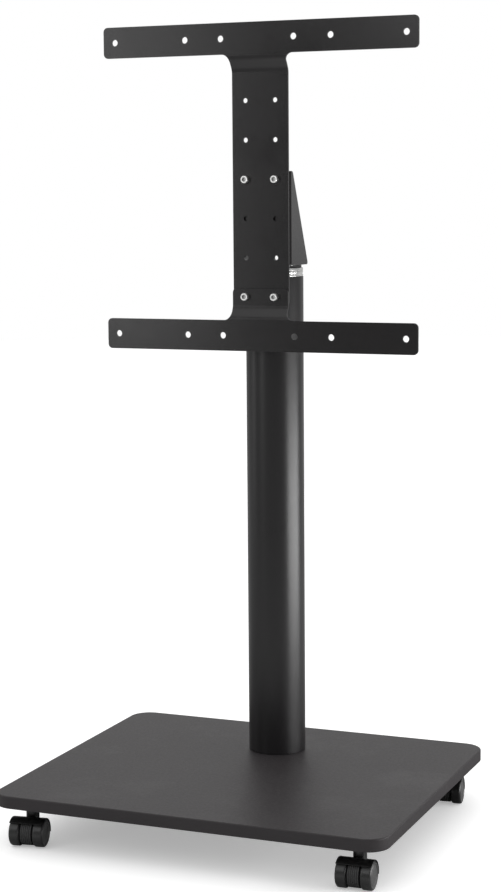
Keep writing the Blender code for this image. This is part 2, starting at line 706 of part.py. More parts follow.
def make_stem(name, material, place):
    """The caster's stem: a thread in the board, a flange under it and a pin in the hood's boss."""
    flange_top = BOARD_BOTTOM - FIT
    flange_bottom = flange_top - STEM_FLANGE_THICKNESS
    flange_radius = wheel_start() - BOSS_TO_WHEEL_GAP
    pin = STEM_PIN_DIAMETER / 2
    thread = STEM_THREAD_DIAMETER / 2
    stem = turned([
        (pin, flange_bottom - STEM_PIN_LENGTH),
        (pin, flange_bottom),
        (flange_radius, flange_bottom),
        (flange_radius, flange_top),
        (thread, flange_top),
        (thread, BOARD_BOTTOM + INSERT_LENGTH),
    ], SMALL_SEGMENTS)
    make_object(name, stem, material, location=(*place, 0.0))


def make_wheel(name, material, pivot, sign):
    """One wheel, with a blind bore on its inner side and a dished outer side."""
    half_facet = math.pi / WHEEL_SEGMENTS
    radius = WHEEL_RADIUS / math.cos(half_facet)
    edge = WHEEL_EDGE_ROUND
    rim = radius - WHEEL_RIM_WIDTH
    bore = AXLE_DIAMETER / 2 + FIT
    hub = WHEEL_HUB_DIAMETER / 2
    dish = WHEEL_WIDTH - WHEEL_DISH_DEPTH
    wheel = turned([
        (bore, AXLE_SEAT_DEPTH + FIT),
        (bore, 0.0),
        (radius - edge, 0.0),
        (radius, edge),
        (radius, WHEEL_WIDTH - edge),
        (radius - edge, WHEEL_WIDTH),
        (rim, WHEEL_WIDTH),
        (rim - WHEEL_DISH_DEPTH, dish),
        (hub + WHEEL_DISH_DEPTH, dish),
        (hub, dish + WHEEL_DISH_DEPTH / 2),
    ], WHEEL_SEGMENTS)
    # Half a facet's turn stands the wheel on a flat. A quarter turn about Y then lays its axis along X, with
    # the outer side away from the caster's middle.
    lay = Matrix.Rotation(sign * math.pi / 2, 4, "Y") @ Matrix.Rotation(half_facet, 4, "Z")
    bmesh.ops.transform(wheel, matrix=lay, verts=wheel.verts)
    make_object(name, wheel, material, pivot, location=(sign * wheel_start(), -CASTER_TRAIL, WHEEL_RADIUS))


def make_axle(name, material, pivot):
    """The pin through the centre body that both wheels run on."""
    reach = wheel_start() + AXLE_SEAT_DEPTH
    axle = turned([(AXLE_DIAMETER / 2, -reach), (AXLE_DIAMETER / 2, reach)], SMALL_SEGMENTS)
    bmesh.ops.transform(axle, matrix=Matrix.Rotation(math.pi / 2, 4, "Y"), verts=axle.verts)
    make_object(name, axle, material, pivot, location=(0.0, -CASTER_TRAIL, WHEEL_RADIUS))


def make_insert(name, material, place):
    """The threaded insert in the board that takes a caster's stem."""
    bore = STEM_THREAD_DIAMETER / 2 + FIT
    insert = ring_body(bore + INSERT_WALL, bore, BOARD_BOTTOM, BOARD_BOTTOM + INSERT_LENGTH, SMALL_SEGMENTS)
    make_object(name, insert, material, location=(*place, 0.0))


def make_casters(plastic, tread, steel):
    """The four casters and the threaded inserts that hold their stems."""
    for corner, place in caster_places().items():
        pivot = make_pivot("caster_pivot_" + corner, (*place, 0.0), CASTER_TURN[corner])
        make_insert("caster_insert_" + corner, steel, place)
        make_stem("caster_stem_" + corner, steel, place)
        make_hood("caster_hood_" + corner, plastic, pivot)
        make_axle("caster_axle_" + corner, steel, pivot)
        for side, sign in (("left", -1), ("right", 1)):
            make_wheel("caster_wheel_" + corner + "_" + side, tread, pivot, sign)


def clear_scene():
    """Removes whatever the file opened with."""
    for thing in list(bpy.data.objects):
        bpy.data.objects.remove(thing, do_unlink=True)


def main():
    clear_scene()
    board_paint = make_material("board_grey", (0.093, 0.089, 0.091), 0.55)
    black_paint = make_material("black_paint", (0.026, 0.025, 0.026), 0.45)
    silver = make_material("turned_silver", (0.74, 0.74, 0.73), 0.25, 1.0)
    zinc = make_material("zinc_steel", (0.66, 0.66, 0.64), 0.3, 1.0)
    slide_plastic = make_material("slide_plastic", (0.02, 0.02, 0.02), 0.6)
    hood_plastic = make_material("hood_plastic", (0.018, 0.018, 0.018), 0.3)
    wheel_plastic = make_material("wheel_plastic", (0.022, 0.022, 0.022), 0.25)

    make_board(board_paint)
    make_column(black_paint, zinc)
    make_swivel(silver, slide_plastic, zinc)
    head = make_pivot("head_pivot", (0.0, COLUMN_Y, BRACKET_BOTTOM))
    make_head(black_paint, zinc, head)
    make_casters(hood_plastic, wheel_plastic, zinc)


main()
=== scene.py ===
# %% [markdown]
# # A floor stand for a flat screen
# This lesson dresses a stand whose exact solids are already made: a flat board on four
# twin wheel casters, a round column, and a head of folded sheet that swivels on top of it.
# The solids come in as a fixed frame. Each visible piece is then modelled again over its
# solid with fine edges, and gets a finish that is built from nodes.

# %% Load the frame
import json
import math

import bmesh
import bpy
from mathutils import Matrix, Vector

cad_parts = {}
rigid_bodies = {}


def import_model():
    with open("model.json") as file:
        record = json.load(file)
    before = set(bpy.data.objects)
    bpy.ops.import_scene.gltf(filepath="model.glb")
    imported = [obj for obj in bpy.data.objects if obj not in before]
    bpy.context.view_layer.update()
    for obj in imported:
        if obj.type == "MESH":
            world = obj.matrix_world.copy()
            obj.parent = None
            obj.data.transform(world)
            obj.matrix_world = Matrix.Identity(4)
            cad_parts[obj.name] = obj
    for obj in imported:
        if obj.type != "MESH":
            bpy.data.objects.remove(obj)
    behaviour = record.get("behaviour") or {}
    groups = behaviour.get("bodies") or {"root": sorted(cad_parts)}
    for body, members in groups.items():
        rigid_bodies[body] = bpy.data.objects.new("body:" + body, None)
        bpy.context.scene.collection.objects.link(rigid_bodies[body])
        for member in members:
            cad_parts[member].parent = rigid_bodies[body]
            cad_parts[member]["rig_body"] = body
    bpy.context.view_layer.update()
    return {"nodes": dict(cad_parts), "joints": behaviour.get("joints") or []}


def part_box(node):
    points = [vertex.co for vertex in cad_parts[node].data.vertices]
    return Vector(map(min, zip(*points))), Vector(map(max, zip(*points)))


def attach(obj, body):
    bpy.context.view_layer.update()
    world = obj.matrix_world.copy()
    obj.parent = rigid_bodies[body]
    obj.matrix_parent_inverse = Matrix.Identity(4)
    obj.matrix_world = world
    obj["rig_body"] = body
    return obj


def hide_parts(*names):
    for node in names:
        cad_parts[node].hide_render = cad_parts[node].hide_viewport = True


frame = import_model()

# %% [markdown]
# ## The camera
# The photograph was taken with a long lens from the front right, from about the height of
# the wedge bracket, and it looks down a little. A camera was fitted to the screw holes, whose
# distances are known, and to the edges of the board. The picture is 501 by 892 pixels, and
# the lens is given in the same pixels, so it turns into millimetres through the sensor's
# long side.

# %% Place the camera
IMAGE_HEIGHT = 892
LENS_PIXELS = 1993.9
CAMERA_PLACE = Vector((0.96972, -2.34008, 0.80924))
CAMERA_RIGHT = Vector((0.92531153, 0.37913165, -0.00759999))
CAMERA_DOWN = Vector((0.03992878, -0.11734169, -0.99228858))
CAMERA_AHEAD = Vector((-0.3770998, 0.91787261, -0.12371588))

lens = bpy.data.cameras.new("photo_camera")
lens.sensor_width = 36.0
lens.lens = LENS_PIXELS * lens.sensor_width / IMAGE_HEIGHT
camera = bpy.data.objects.new("photo_camera", lens)
bpy.context.scene.collection.objects.link(camera)
axes = Matrix((CAMERA_RIGHT, -CAMERA_DOWN, -CAMERA_AHEAD)).transposed()
camera.matrix_world = Matrix.Translation(CAMERA_PLACE) @ axes.to_4x4()
bpy.context.scene.camera = camera
print("lens:", round(lens.lens, 2), "mm")

# %% [markdown]
# ## The studio
# The stand is shown on white with no visible room. A pale floor catches a faint shadow. The
# floor and the world are white where the camera looks straight at them, but dim for the light
# that they send, which keeps black paint black. In front of the stand the floor sends as much
# as a white card would, and round it as little as a grey one, because the board's front shows
# the one and its sides show the other. A low soft light on the right draws the bright line
# down the column. Two on the left lift its other side and the left ends of the bars, and two
# in front lift the right ends and the folded tips. A wide one behind is mirrored in the board,
# a smaller one beside it in the bracket's cheek, and a broad one from above lights everything
# that faces up.

# %% Helpers for nodes
def add_node(tree, kind, links=None, **settings):
    """A node with its settings and inputs. A link is an output socket, and anything else a value."""
    node = tree.nodes.new(kind)
    for name, value in settings.items():
        setattr(node, name, value)
    for socket, value in (links or {}).items():
        if isinstance(value, bpy.types.NodeSocket):
            tree.links.new(value, node.inputs[socket])
        else:
            node.inputs[socket].default_value = value
    return node


def ramp(tree, value, low, high, to_low, to_high):
    """A value from one range put into another, held at its ends."""
    links = {"Value": value, "From Min": low, "From Max": high, "To Min": to_low, "To Max": to_high}
    return add_node(tree, "ShaderNodeMapRange", links).outputs["Result"]


def only_for_camera(tree, socket, others, camera_value):
    """Feeds one value to a socket for rays from the camera, and another for all other rays."""
    rays = add_node(tree, "ShaderNodeLightPath")
    tree.links.new(ramp(tree, rays.outputs["Is Camera Ray"], 0.0, 1.0, others, camera_value), socket)


# %% Lay the floor
WHITE = (1.0, 1.0, 1.0, 1.0)
FLOOR_RADIUS = 9.0
FLOOR_SHADE = 0.9
FLOOR_GLOW = 0.35
WHITE_CARD = 0.95
GREY_CARD = 0.26
FAR_FLOOR = 0.49

bpy.ops.object.select_all(action="DESELECT")
bpy.ops.mesh.primitive_circle_add(vertices=96, radius=FLOOR_RADIUS, fill_type="NGON")
floor = bpy.context.object
floor.name = "pale_floor"

floor_paint = bpy.data.materials.new("pale_floor")
floor_paint.use_nodes = True
floor_tree = floor_paint.node_tree
floor_shader = floor_tree.nodes["Principled BSDF"]
floor_shader.inputs["Emission Color"].default_value = WHITE
floor_shader.inputs["Roughness"].default_value = 0.9
floor_shader.inputs["Specular IOR Level"].default_value = 0.1
floor.data.materials.append(floor_paint)


def floor_cards(tree):
    """The floor's shade for the light that it sends: white in front, dark round the stand, grey far off."""
    place = add_node(tree, "ShaderNodeTexCoord").outputs["Object"]
    parts = add_node(tree, "ShaderNodeSeparateXYZ", {"Vector": place})
    reach = add_node(tree, "ShaderNodeVectorMath", {0: place}, operation="LENGTH")
    near = ramp(tree, parts.outputs["Y"], -0.35, -0.12, WHITE_CARD, GREY_CARD)
    return ramp(tree, reach.outputs["Value"], 0.6, 1.1, near, FAR_FLOOR)


only_for_camera(floor_tree, floor_shader.inputs["Base Color"], floor_cards(floor_tree), FLOOR_SHADE)
only_for_camera(floor_tree, floor_shader.inputs["Emission Strength"], 0.0, FLOOR_GLOW)
print("floor radius:", FLOOR_RADIUS, "m")

# %% Light the studio
WORLD_LIGHT = 0.26

world = bpy.data.worlds.new("studio")
bpy.context.scene.world = world
world.use_nodes = True
sky = world.node_tree.nodes["Background"]
sky.inputs["Color"].default_value = WHITE
only_for_camera(world.node_tree, sky.inputs["Strength"], WORLD_LIGHT, 1.0)
bpy.context.scene.view_settings.view_transform = "Standard"


def add_light(name, kind):
    """A new light and its object, not yet placed."""
    light = bpy.data.lights.new(name, kind)
    thing = bpy.data.objects.new(name, light)
    bpy.context.scene.collection.objects.link(thing)
    return light, thing


def add_soft_light(name, place, target, width, height, power):
    """A rectangular soft light that looks from one point at another."""
    light, thing = add_light(name, "AREA")
    light.shape = "RECTANGLE"
    light.size = width
    light.size_y = height
    light.energy = power
    thing.location = place
    thing.rotation_euler = (Vector(target) - Vector(place)).to_track_quat("-Z", "Y").to_euler()
    thing.visible_camera = False


add_soft_light("light_right", (1.25, 0.25, 0.19), (0.0, 0.108, 0.19), 1.2, 0.37, 12.0)
add_soft_light("light_left", (-2.4, -0.6, 0.95), (0.0, 0.1, 0.6), 0.6, 1.6, 3.6)
add_soft_light("light_front_left", (-1.28, -1.95, 1.08), (-0.2, 0.06, 0.95), 0.58, 1.5, 4.9)
add_soft_light("light_front", (0.0, -2.6, 1.65), (0.0, 0.1, 1.0), 2.4, 0.9, 1.3)
add_soft_light("light_front_right", (-0.2, -1.95, 1.35), (0.15, 0.05, 1.0), 0.6, 0.5, 1.5)
add_soft_light("light_behind", (0.0, 2.8, 0.8), (0.0, 0.1, 0.5), 4.0, 1.5, 3.5)
add_soft_light("light_behind_right", (1.3, 2.6, 1.25), (0.0, 0.1, 0.8), 1.0, 1.2, 1.1)

sun, sun_object = add_light("light_above", "SUN")
sun.energy = 1.9
sun.angle = math.radians(120)
sun_object.rotation_euler = (math.radians(-8), math.radians(-10), 0.0)
print("lights:", len(bpy.data.lights))

# %% [markdown]
# ## Tools for modelling by hand
# Every piece starts as a primitive and is shaped in edit mode. A few helpers keep the steps
# short: one picks corners, edges or faces by a test on their place, one cuts with another
# solid, and one rounds all sharp edges by a fraction of a millimetre, because no real edge
# is perfectly sharp and the thin highlight on it is what makes a plate look like metal.

# %% Helpers for starting a piece
def select_only(piece):
    """Makes one piece the active one, with nothing else selected."""
    bpy.ops.object.select_all(action="DESELECT")
    bpy.context.view_layer.objects.active = piece
    piece.select_set(True)


def settle(name):
    """Names the new primitive and puts its place and size into its mesh."""
    piece = bpy.context.object
    piece.name = name
    piece.data.name = name
    bpy.ops.object.transform_apply(location=True, rotation=True, scale=True)
    return piece


def add_block(name, low, high):
    """A box between two corners."""
    low, high = Vector(low), Vector(high)
    bpy.ops.object.select_all(action="DESELECT")
    bpy.ops.mesh.primitive_cube_add(size=1, location=(low + high) / 2, scale=high - low)
    return settle(name)


def add_rod(name, radius, start, end, corners=64):
    """A round or many sided rod between two points."""
    start, end = Vector(start), Vector(end)
    turn = (end - start).to_track_quat("Z", "Y").to_euler()
    bpy.ops.object.select_all(action="DESELECT")
    bpy.ops.mesh.primitive_cylinder_add(vertices=corners, radius=radius, depth=(end - start).length,
                                        location=(start + end) / 2, rotation=turn)
    return settle(name)


# %% Helpers for editing a piece
MERGE_DISTANCE = 2e-6
NEAR = 1e-5
Y, Z = 1, 2


def edit(piece):
    """Opens one piece in edit mode, with all of it selected."""
    select_only(piece)
    bpy.ops.object.mode_set(mode="EDIT")
    bpy.ops.mesh.select_mode(type="VERT")
    bpy.ops.mesh.select_all(action="SELECT")


def done():
    """Goes back to object mode."""
    bpy.ops.object.mode_set(mode="OBJECT")


def pick(kind, test):
    """Selects the corners, edges or faces that pass a test."""
    bpy.ops.mesh.select_mode(type=kind)
    bpy.ops.mesh.select_all(action="DESELECT")
    mesh = bmesh.from_edit_mesh(bpy.context.object.data)
    for item in {"VERT": mesh.verts, "EDGE": mesh.edges, "FACE": mesh.faces}[kind]:
        if test(item):
            item.select_set(True)
    bmesh.update_edit_mesh(bpy.context.object.data)


def bevel_edges(test, width, segments):
    """Rounds the edges that pass a test."""
    pick("EDGE", test)
    bpy.ops.mesh.bevel(offset=width, segments=segments, affect="EDGES")


def lies_at(edge, axis, value):
    """Whether both ends of an edge have one value along an axis."""
    return all(abs(vert.co[axis] - value) < NEAR for vert in edge.verts)


def is_upright(edge):
    """Whether an edge climbs by more than 10 mm."""
    first, last = edge.verts
    return abs(first.co.z - last.co.z) > 0.01


def slice_at(point, normal):
    """Cuts the whole mesh by a plane and keeps both sides."""
    bpy.ops.mesh.select_all(action="SELECT")
    bpy.ops.mesh.bisect(plane_co=point, plane_no=normal)


def merge_doubles():
    """Selects the whole mesh and merges corners that lie on each other."""
    bpy.ops.mesh.select_all(action="SELECT")
    bpy.ops.mesh.remove_doubles(threshold=MERGE_DISTANCE)


def close_shell():
    """Merges doubles, turns all faces outwards and goes back to object mode."""
    merge_doubles()
    bpy.ops.mesh.normals_make_consistent(inside=False)
    done()


# %% Helpers for spinning a piece
def draw_outline(name, points):
    """Draws a line from point to point and leaves it selected in edit mode."""
    bpy.ops.object.select_all(action="DESELECT")
    bpy.ops.mesh.primitive_plane_add(size=0.001, location=points[0])
    piece = settle(name)
    edit(piece)
    bpy.ops.mesh.merge(type="CENTER")
    for start, end in zip(points, points[1:]):
        bpy.ops.mesh.extrude_region_move(TRANSFORM_OT_translate={"value": end - start})
    merge_doubles()
    bpy.ops.mesh.select_all(action="SELECT")
    return piece


def turn_profile(name, points, steps, closed=False):
    """Draws a (radius, height) profile and spins it about Z."""
    points = [Vector((radius, 0.0, height)) for radius, height in points]
    if closed:
        points.append(points[0])
    piece = draw_outline(name, points)
    bpy.ops.mesh.spin(steps=steps, angle=2 * math.pi, center=(0, 0, 0), axis=(0, 0, 1))
    close_shell()
    return piece


def remember_turning(piece):
    """Keeps each corner's distance from Z, height and angle as an attribute, for turned finishes."""
    attribute = piece.data.attributes.new("turned", "FLOAT_VECTOR", "POINT")
    for vert, value in zip(piece.data.vertices, attribute.data):
        x, y, z = vert.co
        value.vector = (math.hypot(x, y), z, math.atan2(y, x))


# %% Helpers for finishing a piece
def apply_modifier(piece, kind, **settings):
    """Adds one modifier, sets it and applies it."""
    select_only(piece)
    modifier = piece.modifiers.new(kind.title(), kind)
    for name, value in settings.items():
        setattr(modifier, name, value)
    bpy.ops.object.modifier_apply(modifier=modifier.name)


def remove_pieces(*pieces):
    """Removes cutters, and pieces that were made to be copied."""
    for piece in pieces:
        bpy.data.objects.remove(piece, do_unlink=True)


def cut(piece, cutters, operation="DIFFERENCE"):
    """Cuts solids out of a piece, or keeps what it shares with them, and removes them."""
    for cutter in cutters:
        apply_modifier(piece, "BOOLEAN", object=cutter, operation=operation, solver="EXACT")
    remove_pieces(*cutters)


def shade_smooth(piece):
    """Shades round faces smooth and keeps flat ones flat."""
    select_only(piece)
    bpy.ops.object.shade_smooth_by_angle(angle=math.radians(50))
    apply_modifier(piece, "WEIGHTED_NORMAL", keep_sharp=True)


def round_edges(piece, width, segments=2, angle=32):
    """Rounds each edge that is sharper than an angle in degrees, and shades the piece."""
    apply_modifier(piece, "BEVEL", width=width, segments=segments, limit_method="ANGLE",
                   angle_limit=math.radians(angle), use_clamp_overlap=True)
    shade_smooth(piece)


def move_piece(piece, place=(0, 0, 0), turn=(0, 0, 0)):
    """Turns and moves a piece, and puts that into its mesh."""
    select_only(piece)
    piece.rotation_euler = turn
    piece.location = place
    bpy.ops.object.transform_apply(location=True, rotation=True, scale=True)
    return piece


def copy_piece(piece, name, place=(0, 0, 0), turn=(0, 0, 0)):
    """A copy with a mesh of its own, moved from the first one's place."""
    twin = piece.copy()
    twin.data = piece.data.copy()
    twin.name = name
    twin.data.name = name
    bpy.context.scene.collection.objects.link(twin)
    return move_piece(twin, place, turn)


def join_pieces(pieces):
    """Joins several finished shells into the first one."""
    bpy.ops.object.select_all(action="DESELECT")
    for piece in pieces:
        piece.select_set(True)
    bpy.context.view_layer.objects.active = pieces[0]
    bpy.ops.object.join()
    return pieces[0]


# %% [markdown]
# ## Effects that several finishes share
# Paint on steel is never quite even: it has a fine orange peel, slow changes in shade, and
# spots that hands have polished. Turned metal has fine rings, and a little dust settles on
# whatever faces up. Each effect is one node group with named inputs, so that every finish
# can use it at its own scale.

# %% Helpers for node groups
def make_group(name, inputs, outputs):
    """A shader node group with float sockets, or vector ones where the name is Place."""
    group = bpy.data.node_groups.new(name, "ShaderNodeTree")
    for direction, names in (("INPUT", inputs), ("OUTPUT", outputs)):
        for socket in names:
            kind = "NodeSocketVector" if socket == "Place" else "NodeSocketFloat"
            group.interface.new_socket(name=socket, in_out=direction, socket_type=kind)
    return group, group.nodes.new("NodeGroupInput"), group.nodes.new("NodeGroupOutput")


def calculate(tree, operation, *values):
    """A math node, returned as its output."""
    links = dict(enumerate(values))
    return add_node(tree, "ShaderNodeMath", links, operation=operation).outputs["Value"]


# %% Orange peel and slow shade changes
paint_film, film_in, film_out = make_group(
    "paint_film", ["Place", "Peel Scale", "Cloud Scale"], ["Peel", "Cloud"])
for output, detail, roughness in (("Peel", 4.0, 0.55), ("Cloud", 3.0, 0.6)):
    noise = add_node(paint_film, "ShaderNodeTexNoise", {
        "Vector": film_in.outputs["Place"], "Scale": film_in.outputs[output + " Scale"],
        "Detail": detail, "Roughness": roughness})
    paint_film.links.new(noise.outputs["Fac"], film_out.inputs[output])

# %% Rubbed spots and fine scratches
rubbing, rub_in, rub_out = make_group(
    "rubbing", ["Place", "Spot Scale", "Scratch Scale"], ["Spots", "Scratches"])
spots = add_node(rubbing, "ShaderNodeTexNoise", {
    "Vector": rub_in.outputs["Place"], "Scale": rub_in.outputs["Spot Scale"],
    "Detail": 6.0, "Roughness": 0.65})
spot_mask = ramp(rubbing, spots.outputs["Fac"], 0.52, 0.72, 0.0, 1.0)
slant = add_node(rubbing, "ShaderNodeMapping", {
    "Vector": rub_in.outputs["Place"], "Rotation": (0.5, 0.9, 0.4), "Scale": (1.0, 14.0, 1.6)})
streaks = add_node(rubbing, "ShaderNodeTexNoise", {
    "Vector": slant.outputs["Vector"], "Scale": rub_in.outputs["Scratch Scale"], "Detail": 2.0})
streak_mask = ramp(rubbing, streaks.outputs["Fac"], 0.66, 0.72, 0.0, 1.0)
rubbing.links.new(spot_mask, rub_out.inputs["Spots"])
rubbing.links.new(streak_mask, rub_out.inputs["Scratches"])

# %% Rings left by a lathe
lathe_rings, ring_in, ring_out = make_group(
    "lathe_rings", ["Along", "Fine Count", "Coarse Count"], ["Rings", "Bands"])
for output, count, detail in (("Rings", "Fine Count", 2.0), ("Bands", "Coarse Count", 3.0)):
    along = calculate(lathe_rings, "MULTIPLY", ring_in.outputs["Along"], ring_in.outputs[count])
    noise = add_node(lathe_rings, "ShaderNodeTexNoise", {"W": along, "Scale": 1.0, "Detail": detail},
                     noise_dimensions="1D")
    lathe_rings.links.new(noise.outputs["Fac"], ring_out.inputs[output])

# %% Dust on what faces up
settled_dust, dust_in, dust_out = make_group("settled_dust", ["Place", "Speck Scale"], ["Dust"])
facing = add_node(settled_dust, "ShaderNodeNewGeometry")
upright = add_node(settled_dust, "ShaderNodeSeparateXYZ", {"Vector": facing.outputs["Normal"]})
level = ramp(settled_dust, upright.outputs["Z"], 0.6, 1.0, 0.0, 1.0)
specks = add_node(settled_dust, "ShaderNodeTexNoise", {
    "Vector": dust_in.outputs["Place"], "Scale": dust_in.outputs["Speck Scale"],
    "Detail": 5.0, "Roughness": 0.7})
grains = ramp(settled_dust, specks.outputs["Fac"], 0.5, 0.78, 0.0, 1.0)
settled_dust.links.new(calculate(settled_dust, "MULTIPLY", level, grains), dust_out.inputs["Dust"])
print("groups:", [group.name for group in bpy.data.node_groups])

# %% [markdown]
# ## Finishes
# A finish is a Principled shader whose colour and roughness are moved a little by the
# groups, with a Bump node for the texture that light catches. Numbers that are the same all
# over, such as how metallic it is, are set on the shader itself.

# %% Helpers for a finish
def start_finish(name, roughness=0.5, metallic=0.0, specular=0.5):
    """A new material, its node tree, its shader and its object coordinates."""
    material = bpy.data.materials.new(name)
    material.use_nodes = True
    tree = material.node_tree
    shader = tree.nodes["Principled BSDF"]
    shader.inputs["Roughness"].default_value = roughness
    shader.inputs["Metallic"].default_value = metallic
    shader.inputs["Specular IOR Level"].default_value = specular
    place = add_node(tree, "ShaderNodeTexCoord").outputs["Object"]
    return material, tree, shader, place


def use_group(tree, group, **inputs):
    """Places a group, with spaces in its socket names written as underscores."""
    links = {name.replace("_", " "): value for name, value in inputs.items()}
    return add_node(tree, "ShaderNodeGroup", links, node_tree=group).outputs


def blend_colours(tree, factor, first, second):
    """A mix of two colours by a factor, returned as its output."""
    links = {0: factor}
    for index, colour in ((6, first), (7, second)):
        links[index] = (*colour, 1.0) if isinstance(colour, tuple) else colour
    return add_node(tree, "ShaderNodeMix", links, data_type="RGBA").outputs[2]


def grey(value):
    """A neutral colour."""
    return (value, value, value)


def bump(tree, shader, height, distance, strength=1.0):
    """Feeds a height to the shader's normal."""
    node = add_node(tree, "ShaderNodeBump", {"Height": height, "Distance": distance, "Strength": strength})
    tree.links.new(node.outputs["Normal"], shader.inputs["Normal"])


# %% Helper for painted finishes
def painted_finish(name, dark, light, dust, roughness, peel_scale, peel_depth, specular=0.5):
    """Paint with orange peel, slow shade changes, rubbed spots and a little dust."""
    material, tree, shader, place = start_finish(name, specular=specular)
    film = use_group(tree, paint_film, Place=place, Peel_Scale=peel_scale, Cloud_Scale=7.0)
    rub = use_group(tree, rubbing, Place=place, Spot_Scale=9.0, Scratch_Scale=60.0)
    settled = use_group(tree, settled_dust, Place=place, Speck_Scale=260.0)
    shade = blend_colours(tree, film["Cloud"], dark, light)
    dusty = blend_colours(tree, calculate(tree, "MULTIPLY", settled["Dust"], dust), shade, (0.32, 0.31, 0.29))
    tree.links.new(dusty, shader.inputs["Base Color"])
    worn = calculate(tree, "MULTIPLY", rub["Spots"], -0.06)
    uneven = ramp(tree, film["Peel"], 0.3, 0.7, *roughness)
    tree.links.new(calculate(tree, "ADD", uneven, worn), shader.inputs["Roughness"])
    scratched = calculate(tree, "MULTIPLY", rub["Scratches"], -0.15)
    bump(tree, shader, calculate(tree, "ADD", film["Peel"], scratched), peel_depth)
    return material


# %% Black powder coat, board paint and plastics
black_paint = painted_finish(
    "black_powder_coat", (0.0060, 0.0052, 0.0056), (0.0100, 0.0087, 0.0093),
    dust=0.08, roughness=(0.17, 0.25), peel_scale=900.0, peel_depth=0.00005)
column_paint = painted_finish(
    "column_powder_coat", (0.0066, 0.0060, 0.0066), (0.0106, 0.0097, 0.0106),
    dust=0.08, roughness=(0.29, 0.37), peel_scale=900.0, peel_depth=0.00004)
board_paint = painted_finish(
    "board_grey_paint", (0.0242, 0.0214, 0.0228), (0.0322, 0.0288, 0.0305),
    dust=0.12, roughness=(0.40, 0.50), peel_scale=520.0, peel_depth=0.00007, specular=0.24)
hood_plastic = painted_finish(
    "hood_gloss_plastic", grey(0.005), grey(0.010),
    dust=0.12, roughness=(0.28, 0.38), peel_scale=700.0, peel_depth=0.00003)
rib_plastic = painted_finish(
    "ribbed_matt_plastic", grey(0.026), grey(0.040),
    dust=0.10, roughness=(0.45, 0.60), peel_scale=700.0, peel_depth=0.00003)
stem_steel = painted_finish(
    "stem_dark_steel", grey(0.010), grey(0.018),
    dust=0.05, roughness=(0.45, 0.55), peel_scale=800.0, peel_depth=0.00003, specular=0.3)

# %% [markdown]
# The rings and screws are bare metal. The lathe leaves rings that run round the axis, so the
# pattern reads the height above the floor, or the distance from the axis that was kept on
# the mesh. Zinc plate is duller, with a faint warm and cold play in its colour.

# %% Turned aluminium
def turned_parts(tree):
    """The distance from Z as X, and the height as Y, that were kept on a turned mesh."""
    kept = add_node(tree, "ShaderNodeAttribute", attribute_name="turned")
    return add_node(tree, "ShaderNodeSeparateXYZ", {"Vector": kept.outputs["Vector"]}).outputs


silver, tree, shader, place = start_finish("turned_aluminium", roughness=0.24, metallic=1.0)
turned = turned_parts(tree)
along = calculate(tree, "ADD", turned["X"], turned["Y"])
marks = use_group(tree, lathe_rings, Along=along, Fine_Count=9000.0, Coarse_Count=900.0)
film = use_group(tree, paint_film, Place=place, Peel_Scale=400.0, Cloud_Scale=30.0)
tint = blend_colours(tree, marks["Bands"], (0.78, 0.78, 0.77), (0.95, 0.95, 0.94))
tree.links.new(tint, shader.inputs["Base Color"])
tree.links.new(ramp(tree, film["Cloud"], 0.3, 0.7, 0.20, 0.30), shader.inputs["Roughness"])
bump(tree, shader, marks["Rings"], 0.00004, 0.7)

# %% Zinc plate
def zinc_finish(name, roughness, socket=None):
    """Zinc plate, with painted shade inside a socket of a radius, if asked."""
    material, tree, shader, place = start_finish(name, metallic=1.0)
    film = use_group(tree, paint_film, Place=place, Peel_Scale=1500.0, Cloud_Scale=160.0)
    rub = use_group(tree, rubbing, Place=place, Spot_Scale=300.0, Scratch_Scale=700.0)
    tint = blend_colours(tree, film["Cloud"], (0.90, 0.90, 0.87), (0.97, 0.97, 0.98))
    shade = blend_colours(tree, rub["Spots"], tint, (0.78, 0.78, 0.76))
    if socket:
        # Painted shade: the colour within the socket's radius is darkened, standing in for shade in the
        # recess.
        inside = ramp(tree, turned_parts(tree)["X"], socket * 0.9, socket, 1.0, 0.0)
        shade = blend_colours(tree, inside, shade, grey(0.04))
    tree.links.new(shade, shader.inputs["Base Color"])
    tree.links.new(ramp(tree, film["Peel"], 0.3, 0.7, *roughness), shader.inputs["Roughness"])
    bump(tree, shader, film["Peel"], 0.00001)
    return material


zinc = zinc_finish("zinc_plate", (0.22, 0.38))
bright_zinc = zinc_finish("bright_zinc_plate", (0.30, 0.42), socket=0.0029)

# %% Slide washer plastic
slide_plastic, tree, shader, place = start_finish("slide_plastic")
film = use_group(tree, paint_film, Place=place, Peel_Scale=1200.0, Cloud_Scale=60.0)
tree.links.new(blend_colours(tree, film["Cloud"], grey(0.014), grey(0.026)), shader.inputs["Base Color"])
tree.links.new(ramp(tree, film["Peel"], 0.3, 0.7, 0.5, 0.7), shader.inputs["Roughness"])
bump(tree, shader, film["Peel"], 0.00002)

# %% [markdown]
# A caster wheel is moulded nylon. Its tread is polished by the floor, while its side keeps
# the finer grain of the mould and looks lighter. The kept distance from the axle tells the
# two apart.

# %% Wheel plastic
SIDE_ENDS = 0.0146
TREAD_STARTS = 0.0156

